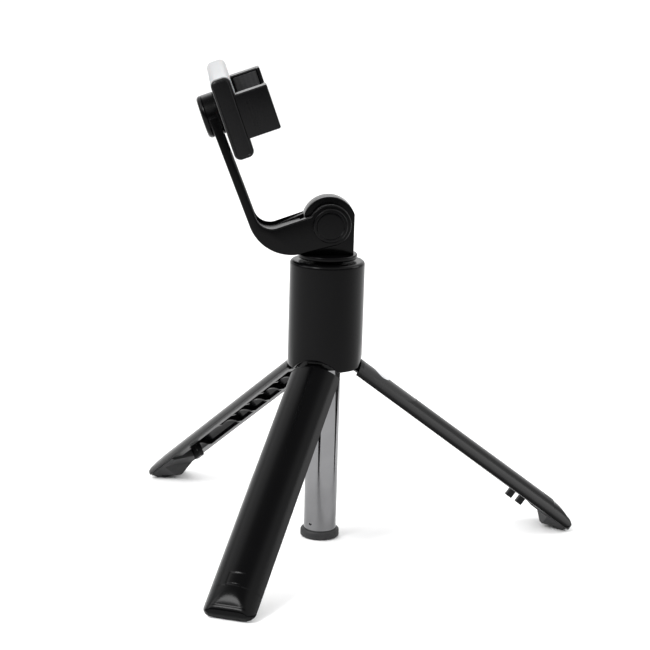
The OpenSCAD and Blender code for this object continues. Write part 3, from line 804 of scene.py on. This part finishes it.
@dataclass
class Pole(Maker):
    """The outer tube with its rolled mouth and crimps, and the rubber cap that it stands on."""

    outer_r: float = 8.0
    wall: float = 0.4
    next_r: float = 7.05
    crimp_deg: tuple[float, float, float] = (-131.0, -11.0, 109.0)
    crimp_rise: float = 4.2
    crimp_depth: float = 0.55
    crimp_r: float = 1.15

    def build(self) -> None:
        """Make the tube and the cap."""
        self.tube()
        self.cap()

    def tube(self) -> None:
        """Carry the tube's section round the pole, then press in each crimp by a bell curve of depth.

        The radius drops by depth * exp(-(d / crimp_r)^2), where d is the distance from the crimp's middle.
        """
        low, high = self.span("outer_tube")
        out = np.concatenate([np.linspace(low, low + 9, 46), np.linspace(low + 10, high - 0.5, 14)])
        profile = np.concatenate([
            np.stack([np.full(len(out), self.outer_r), out], 1),
            arc((self.outer_r - 0.4, high - 0.4), 0.4, 30, 90, 4),
            [[self.next_r + 0.1, high], [self.next_r, high - 0.15], [self.next_r, high - 3.0],
             [self.outer_r - self.wall, high - 3.6], [self.outer_r - self.wall, low]]])
        turns = 192
        angle = np.linspace(0, 2 * math.pi, turns, endpoint=False)
        r = profile[:, :1] * np.ones(turns)
        z = profile[:, 1:] * np.ones(turns)
        for facing in np.radians(self.crimp_deg):
            aside = self.outer_r * np.angle(np.exp(1j * (angle - facing)))
            away = np.hypot(aside, z - low - self.crimp_rise) / self.crimp_r
            r = r - np.where(r > self.outer_r - 0.1, self.crimp_depth * np.exp(-away ** 2), 0.0)
        shells = Shells()
        shells.grid(np.stack([r * np.cos(angle), r * np.sin(angle), z], -1), wrap_rows=True)
        self.hand_over(shells, "outer_tube_skin", ROW, Finish.CHROME, "hub", "outer_tube", "tube_chrome")

    def cap(self) -> None:
        """Turn the end cap: a flange with soft edges, and the plug that holds it in the tube."""
        low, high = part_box("pole_end_cap")
        flange = high.x / MM
        plug = self.outer_r - self.wall - 0.02
        profile = np.concatenate([
            [[0.4, 0.0], [flange - 1.6, 0.0]], arc((flange - 1.0, 1.0), 1.0, -80, 0, 6),
            arc((flange - 1.2, 2.9), 1.2, 5, 85, 7), [[plug, 4.0], [plug, high.z / MM - 0.6],
            [plug - 0.6, high.z / MM], [0.4, high.z / MM]]])
        shells = Shells()
        shells.lathe(profile)
        self.hand_over(shells, "pole_end_foot", ROW, Finish.RUBBER, "hub", "pole_end_cap", "rubber_black")


# ---------------------------------------------------------------- legs

LEG_BODIES = ("leg_right", "leg_left", "leg_front")


@dataclass
class LegCover(Maker):
    """A leg's cover: a third of a tube wall that rounds down to a blunt toe, with a snap mark near it."""

    body: str = "leg_front"
    node: str = "front_leg_cover"
    has_dock: bool = False
    hinge_r: float = 11.5
    outer_r: float = 14.5
    wall: float = 1.6
    half_deg: float = 59.0
    top_s: float = 5.5
    length: float = 145.0
    nose_s: float = 132.0
    nose_r: float = 22.0
    toe_r: float = 3.5
    back_x: float = 3.0
    no_limit: float = 16.0
    chord_x: float = -4.3
    chord_drop: float = 0.3
    toe_corner: float = 4.2
    soft: float = 0.8
    dock: tuple[float, float, float] = (7.35, 41.65, 8.35)
    snap: tuple[float, float, float] = (125.4, 131.4, 3.4)
    groove_depth: float = 0.2
    groove_reach: float = 0.3
    corner_round: float = 0.985
    corner_taper: float = 0.15
    columns: int = 61
    rim_columns: int = 15
    dock_columns: int = 43
    dock_clear: float = 0.2

    def path(self) -> tuple[Array, Array]:
        """Centre path of the cover's back: distance along the leg, and the height that limits it.

        It runs straight to the nose, down the nose's large circle, round the toe's small one and down the end.

        Returns:
            Distances from the hinge, and the limiting heights in the leg's X.
        """
        toe_s = self.length - self.toe_r
        drop = self.nose_r - math.sqrt(self.nose_r ** 2 - (toe_s - self.nose_s) ** 2)
        toe_x = self.back_x - drop - self.toe_r
        straight = np.unique(np.concatenate([
            np.linspace(self.top_s, 46, 90), np.linspace(46, 122, 40), np.linspace(122, self.nose_s, 30)]))
        nose = np.linspace(self.nose_s, toe_s, 40)[1:]
        turn = np.radians(np.linspace(0, 90, 12))[1:]
        end = np.linspace(toe_x, self.chord_x - self.chord_drop, 8)[1:]
        s = np.concatenate([straight, nose, toe_s + self.toe_r * np.sin(turn), np.full(len(end), self.length)])
        x = np.concatenate([
            np.full(len(straight), self.no_limit),
            self.back_x - self.nose_r + np.sqrt(self.nose_r ** 2 - (nose - self.nose_s) ** 2),
            toe_x + self.toe_r * np.cos(turn), end])
        return s, x

    def sheet(self, s: Array, limit: Array, beta: Array, inset: float) -> Array:
        """One face of the wall: the tube's round, held under the nose's height by a soft minimum.

        A soft minimum of a and b with reach k is (a + b - sqrt((a - b)^2 + k^2)) / 2.

        Args:
            s: distance along the leg of each point.
            limit: the nose's height at each point.
            beta: angle about the tube of each point.
            inset: how far the face lies inside the outer one.
        Returns:
            Local points.
        """
        radius = self.outer_r - inset
        x = radius * np.cos(beta) - self.hinge_r
        y = radius * np.sin(beta)
        top = limit - inset
        x = (x + top - np.sqrt((x - top) ** 2 + self.soft ** 2)) / 2
        floor = self.chord_x - self.chord_drop * s / self.length
        x = np.maximum(x, floor)
        end = self.length - inset
        s = np.minimum(s, end)
        into = np.clip((s - (self.length - self.toe_corner)) / self.toe_corner, 0, 1)
        widest = radius * math.sin(math.radians(self.half_deg))
        room = widest - self.toe_corner * (1 - np.sqrt(1 - (into * self.corner_round) ** 2))
        y = np.sign(y) * np.minimum(np.abs(y), room * (np.abs(y) / widest) ** self.corner_taper)
        return np.stack([x, y, -s], -1)

    def snap_groove(self, s: Array, y: Array) -> Array:
        """Depth of the groove round the snap tab: a bell curve about the outline of a rectangle.

        Args:
            s: distance along the leg.
            y: distance from the middle.
        Returns:
            The depth in mm.
        """
        start, end, half = self.snap
        away = np.maximum(np.abs(s - (start + end) / 2) - (end - start) / 2, np.abs(y) - half)
        return self.groove_depth * np.exp(-(away / self.groove_reach) ** 2)

    def build(self) -> None:
        """Lay both faces of the wall on one grid, cut the dock's cells and close every rim."""
        s, limit = self.path()
        half = math.radians(self.half_deg)
        if self.has_dock:
            start, _, half_dock = self.dock
            edge = math.asin(half_dock / self.outer_r)
            beta = np.concatenate([np.linspace(-half, -edge, self.rim_columns)[:-1],
                                   np.linspace(-edge, edge, self.dock_columns),
                                   np.linspace(edge, half, self.rim_columns)[1:]])
            tail = s >= self.length
            rows = np.unique(np.append(s[~tail & (np.abs(s - start) > self.dock_clear)], start))
            limit = np.concatenate([np.interp(rows, s[~tail], limit[~tail]), limit[tail]])
            s = np.concatenate([rows, s[tail]])
        else:
            beta = np.linspace(-half, half, self.columns)
        along, around = np.meshgrid(s, beta, indexing="ij")
        limits = np.meshgrid(limit, beta, indexing="ij")[0]
        kept = np.ones((len(s) - 1, len(beta) - 1), bool)
        if self.has_dock:
            along, around, kept = self.cut_dock(along, around, kept)
        outer = self.sheet(along, limits, around, 0.0)
        inner = self.sheet(along, limits, around, self.wall)
        depth = self.snap_groove(-outer[..., 2], outer[..., 1])
        outer[..., 0] -= depth * np.cos(around)
        outer[..., 1] -= depth * np.sin(around)
        shells = Shells()
        shells.sheets(outer, inner, kept)
        piece = self.hand_over(shells, self.node + "_shell", self.layout.leg(self.body), Finish.GLOSS, self.body,
                               self.node, "gloss_black", 40.0)
        bevel = piece.modifiers.new("soft_rims", "BEVEL")
        bevel.width = 0.35 * MM
        bevel.segments = 2
        bevel.limit_method = "ANGLE"
        bevel.angle_limit = math.radians(50)

    def cut_dock(self, along: Array, around: Array, kept: Array) -> tuple[Array, Array, Array]:
        """Leave out the cells inside the remote's dock, and draw the round end's edge points onto its circle.

        Args:
            along: distance along the leg of each grid point.
            around: angle about the tube of each grid point.
            kept: which cells are there.
        Returns:
            The moved distances and angles, and the cells that stay.
        """
        start, end, half = self.dock
        centre = end - half
        aside = self.outer_r * np.sin(around)
        mid_s = (along[:-1, :-1] + along[1:, 1:]) / 2
        mid_y = (aside[:-1, :-1] + aside[1:, 1:]) / 2
        in_round = (mid_s < centre) | (np.hypot(mid_s - centre, mid_y) < half)
        inside = (mid_s > start) & (np.abs(mid_y) < half) & in_round
        kept = kept & ~inside
        touch_in = np.zeros(along.shape, bool)
        touch_out = np.zeros(along.shape, bool)
        for rows, cols in ((slice(0, -1), slice(0, -1)), (slice(1, None), slice(0, -1)),
                           (slice(0, -1), slice(1, None)), (slice(1, None), slice(1, None))):
            touch_in[rows, cols] |= inside
            touch_out[rows, cols] |= ~inside
        rim = touch_in & touch_out & (along > centre)
        away = np.hypot(along - centre, aside)
        share = np.where(rim, half / np.maximum(away, 1e-6), 1.0)
        along = np.where(rim, centre + (along - centre) * share, along)
        around = np.where(rim, np.arcsin(np.clip(aside * share / self.outer_r, -1, 1)), around)
        return along, around, kept


# ---------------------------------------------------------------- head


@dataclass
class HeadBase(Maker):
    """The turning base: a neck and thin disc with a round-topped tongue that carries the tilt axis."""

    neck_r: float = 7.25
    disc_r: float = 14.2
    disc_h: float = 2.4
    tongue_half: float = 12.0
    tongue_r: float = 12.8
    tongue_t: float = 10.0

    def build(self) -> None:
        """Turn the neck and disc, and carry the tongue's outline across its thickness."""
        low, _ = self.span("head_base")
        disc = low + 0.8
        profile = np.concatenate([
            [[0.4, low], [self.neck_r, low], [self.neck_r, disc]],
            arc((self.disc_r - 0.9, disc + 0.9), 0.9, -85, -5, 6),
            arc((self.disc_r - 0.5, disc + self.disc_h - 0.5), 0.5, 5, 85, 5),
            [[0.4, disc + self.disc_h]]])
        shells = Shells()
        shells.lathe(profile, 128)
        pivot = self.layout.pivot_z()
        foot = disc + self.disc_h - 0.05
        lift = math.sqrt(self.tongue_r ** 2 - self.tongue_half ** 2)
        start = math.degrees(math.asin(lift / self.tongue_r))
        outline = np.concatenate([
            [[-self.tongue_half, foot], [self.tongue_half, foot]], [[self.tongue_half, (foot + pivot) / 2]],
            arc((0, pivot), self.tongue_r, start, 180 - start, 40), [[-self.tongue_half, (foot + pivot) / 2]]])
        shells.plate(outline, -self.tongue_t / 2, self.tongue_t / 2, (0.6, 0.6))
        self.hand_over(shells, "head_turntable", ROW, Finish.GLOSS, "head", "head_base", "gloss_black")


@dataclass
class Arm(Maker):
    """The hooked arm: a slim bar, a bellied hook and two cheeks on the tilt axis, with its caps."""

    width: float = 22.0
    bar_x: float = -32.0
    bar_t: float = 4.2
    flare: float = 1.6
    boss_z: float = 66.3
    boss_r: float = 10.25
    boss_x: tuple[float, float] = (-38.3, -32.2)
    hook_r: float = 21.2
    hook_z: float = 12.5
    inner_r: float = 8.0
    floor_z: float = 7.0
    knuckle_r: float = 10.0
    slot_half: float = 5.6
    rim: float = 1.5
    channel: float = 1.3
    slot_x: float = -12.6
    cap_r: float = 8.2

    def contour(self, sunk: float, cut_x: float | None = None) -> Array:
        """Side outline of the arm, from the bar's top down its back, round the hook and back up its front.

        Args:
            sunk: how far the front lies under the rims.
            cut_x: where the outline is cut short for the slot, or None for the whole arm with its round end.
        Returns:
            Points of the closed outline in the head's X and Z.
        """
        back = self.bar_x - self.bar_t
        centre = back + self.hook_r
        bend = self.floor_z + self.inner_r
        belly = arc((centre, self.hook_z), self.hook_r, 180, 270, 40)
        corner = arc((self.bar_x + self.inner_r, bend), self.inner_r + sunk, 270, 180, 18)
        top = [[self.bar_x - self.flare - sunk, self.boss_z], [back - self.flare, self.boss_z]]
        if cut_x is None:
            join = math.degrees(math.asin(self.floor_z / self.knuckle_r))
            return np.concatenate([top, belly, arc((0, 0), self.knuckle_r, -92, 180 - join, 60), corner])
        low = self.hook_z - self.hook_r
        drop = (cut_x - centre) / -centre * (-self.knuckle_r - low)
        return np.concatenate([top, belly[:-1], [[cut_x, low + drop], [cut_x, self.floor_z - sunk]], corner])

    def build(self) -> None:
        """Make the arm's layers, with a rim along each side, and its boss, then the caps on its two axes."""
        half = self.width / 2
        edge = 0.9
        shells = Shells()
        inside = half - self.rim
        shells.plate(self.contour(self.channel, self.slot_x), -self.slot_half, self.slot_half, (0.0, 0.0))
        shells.plate(self.contour(self.channel), -inside, -self.slot_half, (0.0, 0.0))
        shells.plate(self.contour(self.channel), self.slot_half, inside, (0.0, 0.0))
        shells.plate(self.contour(0.0), -half, -inside, (edge, 0.25))
        shells.plate(self.contour(0.0), inside, half, (0.25, edge))
        near, far = self.boss_x
        boss = np.concatenate([[[0.4, near], [self.boss_r - 0.3, near], [self.boss_r, near + 0.3]],
                               arc((self.boss_r - 0.7, far - 0.7), 0.7, 0, 90, 5), [[0.4, far]]])
        shells.lathe(boss, 128, "x", (0, 0, self.boss_z))
        head = self.layout.head()
        self.hand_over(shells, "arm_casting", head, Finish.GLOSS, "arm", "arm", "gloss_black", 30.0)
        self.tilt_caps(head)
        self.swivel_cap(head)

    def tilt_caps(self, head: Place) -> None:
        """Turn the caps over the tilt screw: a raised rim, a shallow dish and a low dome.

        Args:
            head: the head's place.
        """
        face = self.width / 2 + 0.05
        r = self.cap_r
        dome_r = np.linspace(r - 2.1, 0.3, 10)
        dome = np.stack([dome_r, face + 1.3 + 0.25 * (1 - (dome_r / r) ** 2)], 1)
        profile = np.concatenate([
            [[0.3, face]], [[r - 0.25, face], [r, face + 0.25], [r, face + 0.9]],
            arc((r - 0.8, face + 0.98), 0.8, 0, 90, 6), [[r - 1.5, face + 1.78], [r - 1.9, face + 1.35]], dome])
        for side, node in ((-1, "tilt_cap_near"), (1, "tilt_cap_far")):
            shells = Shells()
            shells.lathe(profile * [1, side], 96, "y")
            self.hand_over(shells, node + "_dish", head, Finish.GLOSS, "arm", node, "gloss_black")

    def swivel_cap(self, head: Place) -> None:
        """Turn the cap behind the clamp's axis: a flat disc with a broad chamfer and a fine seam.

        Args:
            head: the head's place.
        """
        r, t = self.boss_r, 2.2
        profile = np.concatenate([
            [[0.4, 0.0], [r - 0.2, 0.0], [r, 0.15], [r, 0.5]], arc((r - 1.9, 0.4), 1.85, 8, 82, 7),
            [[r - 2.2, t], [0.4, t]]]) * [1, -1]
        shells = Shells()
        shells.lathe(profile, 128, "x", (self.boss_x[0] - 0.05, 0, self.boss_z))
        self.hand_over(shells, "swivel_cap_disc", head, Finish.GLOSS, "arm", "swivel_cap", "gloss_black")


@dataclass
class Clamp(Maker):
    """The phone clamp: a pale body, a fixed far jaw, and a near jaw in one piece with its end plate."""

    body_x: tuple[float, float] = (-31.7, -22.4)
    body_z: tuple[float, float] = (47.3, 85.3)
    body_y: tuple[float, float] = (-33.7, 43.5)
    plate_y: tuple[float, float] = (-38.5, -33.9)
    near_face: float = -31.0
    far_face: float = 36.0
    jaw_z: tuple[float, float] = (55.4, 76.4)
    jaw_x: float = -7.4
    lip: float = 1.8
    corner_r: float = 3.0

    def section(self, margin: float) -> Array:
        """Rounded rectangle of the body's section, drawn in by a margin."""
        (x0, x1), (z0, z1) = self.body_x, self.body_z
        return self.rounded_box(x0 + margin, x1 - margin, z0 + margin, z1 - margin, self.corner_r - margin, 8)

    @staticmethod
    def rounded_box(x0: float, x1: float, z0: float, z1: float, radius: float, steps: int) -> Array:
        """Outline of a rectangle from (x0, z0) to (x1, z1) with rounded corners."""
        return rounded_corners([(x0, z0, radius), (x1, z0, radius), (x1, z1, radius), (x0, z1, radius)], steps)

    def jaw_outline(self, face: float, back: float, start_x: float) -> Array:
        """Plan of a jaw in X and Y: a block whose free end turns in as a small lip.

        Args:
            face: Y of the gripping face.
            back: Y of the outer face.
            start_x: where it leaves the body.
        Returns:
            Points of the closed outline.
        """
        way = 1.0 if face > back else -1.0
        x1, lip_x = self.jaw_x, self.jaw_x - self.lip
        corners = [(start_x, back, 0.0), (x1, back, 1.0), (x1, face + way * self.lip, 0.6),
                   (lip_x, face + way * self.lip, 0.6), (lip_x, face, 0.5), (start_x, face, 0.0)]
        return rounded_corners(corners, 5)

    def build(self) -> None:
        """Make the body, the near plate with its jaw, and the far jaw."""
        head = self.layout.head()
        shells = Shells()
        shells.plate(self.section(0.0), *self.body_y, (0.35, 1.4), steps=6)
        self.hand_over(shells, "clamp_body_shell", head, Finish.PALE, "clamp", "clamp_body", "pale_plastic")

        near = Shells()
        low, high = self.plate_y
        near.plate(self.section(0.0), low + 0.25, high - 1.5, (1.1, 0.25), steps=6)
        near.plate(self.section(0.45), high - 1.6, high - 1.1, (0.0, 0.0))
        near.plate(self.section(0.0), high - 1.2, high, (0.25, 0.2))
        near.bead(self.section(1.05), low + 0.42, 0.42)
        outline = self.jaw_outline(self.near_face, low, self.body_x[1] - 0.6)
        near.plate(outline, *self.jaw_z, (0.8, 0.8), "xy")
        start = self.body_x[1] + 3.4
        grip = self.rounded_box(start, start + 0.5, self.jaw_z[0] + 5, self.jaw_z[1] - 4, 0.24, 4)
        for step in (0.0, 1.5):
            near.plate(grip + [step, 0.0], low - 0.22, low + 0.5, (0.15, 0.0))
        self.hand_over(near, "sliding_jaw_body", head, Finish.SATIN, "sliding_jaw", "sliding_jaw", "satin_black")

        far = Shells()
        outline = self.jaw_outline(self.far_face, self.body_y[1], self.body_x[1] + 0.05)
        far.plate(outline, *self.jaw_z, (0.8, 0.8), "xy")
        self.hand_over(far, "fixed_jaw_body", head, Finish.SATIN, "clamp", "fixed_jaw", "satin_black")


# ---------------------------------------------------------------- CAD nodes that stay

NODE_FINISH = {
    Finish.SATIN: ("leg_carrier", "right_leg_frame", "left_leg_frame", "front_leg_frame", "remote_upper_shell",
                   "remote_lower_shell"),
    Finish.RUBBER: ("right_leg_foot", "left_leg_foot", "front_leg_foot", "fixed_jaw_pad", "sliding_jaw_pad"),
    Finish.BUSH: ("pole_top_bush", "tube_2_bush", "tube_3_bush", "tube_4_bush", "tube_5_bush", "tilt_washers"),
    Finish.CHROME: ("tube_2", "tube_3", "tube_4", "tube_5"),
    Finish.STEEL: ("leg_hinge_pins", "hub_screws", "tube_5_plug", "head_set_screw", "tilt_screw", "tilt_nut",
                   "swivel_screw", "swivel_washer", "fixed_jaw_screws", "guide_rods", "jaw_springs", "remote_cell"),
    Finish.BRASS: ("clamp_insert",),
    Finish.BOARD: ("remote_board",),
    Finish.BUTTON: ("remote_button",),
}


def dress_nodes(nodes: dict[str, bpy.types.Object], paints: Paints) -> None:
    """Give every CAD node that stays its procedural material.

    Args:
        nodes: the frame's nodes by name.
        paints: where the materials come from.
    """
    for finish, names in NODE_FINISH.items():
        for name in names:
            slots = nodes[name].material_slots
            for slot in slots:
                slot.material = paints.get(finish)
            LOG.info("%s: dressed in %s", name, finish.name.lower())


# ---------------------------------------------------------------- studio


@dataclass
class Studio:
    """The pale floor, the soft lights and the camera."""

    paints: Paints
    lens_mm: float = 114.2
    distance: float = 994.3
    elevation_deg: float = 13.03
    roll_deg: float = 1.7
    azimuth_deg: float = -94.8
    aim: tuple[float, float, float] = (-0.3, 0.0, 106.2)
    dome: float = 1.4

    def build(self) -> None:
        """Set up everything round the object."""
        self.floor()
        self.sky()
        self.lights()
        self.camera()

    def floor(self) -> None:
        """Lay a wide square floor just under the feet, on a coarse grid."""
        half, step = 12.0, 13
        axis = np.linspace(-half, half, step)
        x, y = np.meshgrid(axis, axis)
        grid = np.stack([x, y, np.full_like(x, -0.0002)], -1)
        numbers = np.arange(step * step).reshape(step, step)
        mesh = bpy.data.meshes.new("floor")
        mesh.from_pydata(grid.reshape(-1, 3).tolist(), [], Shells.cells(numbers).reshape(-1, 4).tolist())
        mesh.materials.append(self.paints.get(Finish.FLOOR))
        floor = bpy.data.objects.new("floor", mesh)
        bpy.context.scene.collection.objects.link(floor)

    def sky(self) -> None:
        """Light the object from a dome, bright part of the way up and behind; the view itself sees plain white.

        Each ramp turns a direction's height, or how far it points behind, into brightness. The lighter one wins.
        """
        scene = bpy.context.scene
        scene.view_settings.view_transform = "Standard"
        scene.world = bpy.data.worlds.new("studio")
        w = Wiring(scene.world)
        facing = w.node("ShaderNodeTexCoord", out="Generated")
        shades = {
            "Z": ((0.0, 0.04), (0.3, 0.12), (0.5, 1.3), (0.8, 1.3), (0.93, 0.4), (1.0, 0.3)),
            "Y": ((0.0, 0.0), (0.35, 0.0), (0.8, 0.9), (1.0, 0.9)),
        }
        above, behind = (w.node("ShaderNodeValToRGB", {"stops": [(at, (shade,) * 3) for at, shade in stops]},
                                {0: w.node("ShaderNodeSeparateXYZ", {}, {0: facing}, out=axis)})
                         for axis, stops in shades.items())
        lighter = w.node("ShaderNodeMix", {"data_type": "RGBA", "blend_type": "LIGHTEN"},
                         {0: 1.0, 6: above, 7: behind}, out=2)
        dome = w.node("ShaderNodeBackground", {}, {"Color": lighter, "Strength": self.dome})
        plain = w.node("ShaderNodeBackground", {}, {"Color": (1.0, 1.0, 1.0, 1.0)})
        seen = w.node("ShaderNodeLightPath", out="Is Camera Ray")
        w.node("ShaderNodeOutputWorld", {}, {0: w.node("ShaderNodeMixShader", {}, {0: seen, 1: dome, 2: plain})})

    def lights(self) -> None:
        """Hang four soft lights: a key on the left, a fill on the right, one behind and one high in front."""
        rows = (("key", (-0.95, -0.1, 0.6), 3.5, 0.6), ("fill", (0.95, 0.1, 0.45), 3.5, 0.5),
                ("rear", (-0.1, 0.9, 0.8), 2.5, 0.7), ("nose", (-0.54, -0.51, 0.77), 6.5, 0.3))
        target = np.array([0.0, 0.0, 0.1])
        for name, spot, power, size in rows:
            light = bpy.data.lights.new(name, "AREA")
            light.energy = power
            light.size = size
            lamp = bpy.data.objects.new(name, light)
            away = np.array(spot) - target
            away /= np.linalg.norm(away)
            side = np.cross([0.0, 0.0, 1.0], away)
            side /= np.linalg.norm(side)
            lamp.matrix_world = self.pose(spot, (side, np.cross(away, side), away))
            bpy.context.scene.collection.objects.link(lamp)

    @staticmethod
    def pose(spot: tuple[float, float, float] | list[float], axes: tuple[Array, Array, Array]) -> Matrix:
        """Matrix that stands something at a spot, with its X, Y and Z along the three axes."""
        return Matrix.Translation(spot) @ Matrix(np.stack(axes, 1).tolist()).to_4x4()

    def camera(self) -> None:
        """Stand the camera back from the aim point, raised and slightly rolled."""
        elevation, roll = math.radians(self.elevation_deg), math.radians(self.roll_deg)
        azimuth = math.radians(self.azimuth_deg)
        back = np.array([math.cos(azimuth) * math.cos(elevation), math.sin(azimuth) * math.cos(elevation),
                         math.sin(elevation)])
        level = np.cross([0.0, 0.0, 1.0], back)
        level /= np.linalg.norm(level)
        raised = np.cross(back, level)
        right = math.cos(roll) * level + math.sin(roll) * raised
        up = -math.sin(roll) * level + math.cos(roll) * raised
        spot = (np.array(self.aim) + back * self.distance) * MM
        data = bpy.data.cameras.new("camera")
        data.lens = self.lens_mm
        data.sensor_width = 36.0
        data.clip_end = 60.0
        camera = bpy.data.objects.new("camera", data)
        camera.matrix_world = self.pose(spot.tolist(), (right, up, back))
        bpy.context.scene.collection.objects.link(camera)
        bpy.context.scene.camera = camera


# ---------------------------------------------------------------- main


def main() -> None:
    """Load the frame, build each sub-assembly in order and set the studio."""
    logging.basicConfig(level=logging.INFO, format="%(name)s %(message)s")
    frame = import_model()
    layout = Layout({joint["name"]: joint for joint in frame["joints"]})
    paints = Paints()
    Hub(layout, paints).build()
    Pole(layout, paints).build()
    for body, node, has_dock in (("leg_right", "right_leg_cover", True), ("leg_left", "left_leg_cover", False),
                                 ("leg_front", "front_leg_cover", False)):
        LegCover(layout, paints, body, node, has_dock).build()
    HeadBase(layout, paints).build()
    Arm(layout, paints).build()
    Clamp(layout, paints).build()
    dress_nodes(frame["nodes"], paints)
    Studio(paints).build()


if __name__ == "__main__":
    main()
